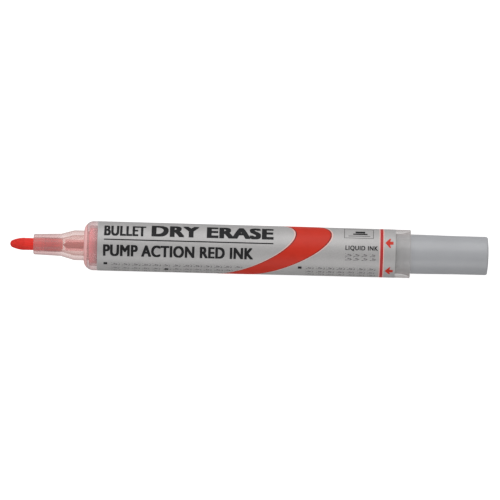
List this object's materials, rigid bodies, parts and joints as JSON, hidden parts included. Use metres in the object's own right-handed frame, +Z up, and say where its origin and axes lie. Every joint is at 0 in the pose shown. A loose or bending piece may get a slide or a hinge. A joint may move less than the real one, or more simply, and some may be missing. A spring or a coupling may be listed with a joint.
{
  "type": "whiteboard marker",
  "caption": "Slim pump-action whiteboard marker with a bullet nib in a see-through nozzle, a labelled clear barrel and a sprung push plunger; shown without its cap.",
  "frame": {"origin": "bottom centre of the bounding box: midway along the marker, under the barrel, on the surface that it lies on", "axes": "+X along the marker from the nib to the plunger, +Z up, with the print facing up"},
  "size_m": [0.14, 0.0146, 0.0146],
  "materials": {
    "nib_fibre": "bonded fibre soaked in red ink, matt",
    "milky_plastic": "milky natural polypropylene tinted by the ink inside",
    "clear_plastic": "clear moulded polypropylene",
    "label_film": "silver metallised film with red and black print",
    "grey_plastic": "grey satin polypropylene",
    "natural_plastic": "natural white polypropylene",
    "seal_rubber": "matt black nitrile rubber",
    "spring_steel": "drawn stainless spring wire",
    "ball_steel": "polished steel ball",
    "ink": "red liquid ink"
  },
  "bodies": {
    "marker_body": {"nib": "nib_fibre", "nozzle": "milky_plastic", "barrel": "clear_plastic", "label": "label_film", "neck_gasket": "seal_rubber", "feed_wick": "nib_fibre", "valve_housing": "natural_plastic", "valve_spring": "spring_steel", "valve_seat": "seal_rubber", "valve_retainer": "natural_plastic", "ink": "ink", "pump_cylinder": "natural_plastic", "cylinder_o_ring": "seal_rubber", "check_valve": "seal_rubber", "return_spring": "spring_steel"},
    "plunger_body": {"plunger": "grey_plastic", "piston": "natural_plastic", "piston_seal": "seal_rubber"},
    "ball_body": {"valve_ball": "ball_steel"}
  },
  "joints": [
    {"name": "plunger_press", "type": "slide", "parent": "marker_body", "child": "plunger_body", "axis": [-1, 0, 0], "range_m": [0, 0.005], "stiffness_N_per_m": 500, "springref_m": -0.002, "deforming": ["return_spring"]},
    {"name": "valve_lift", "type": "slide", "parent": "marker_body", "child": "ball_body", "axis": [-1, 0, 0], "range_m": [0, 0.0008], "stiffness_N_per_m": 30, "springref_m": -0.0004, "deforming": ["valve_spring"]}
  ]
}
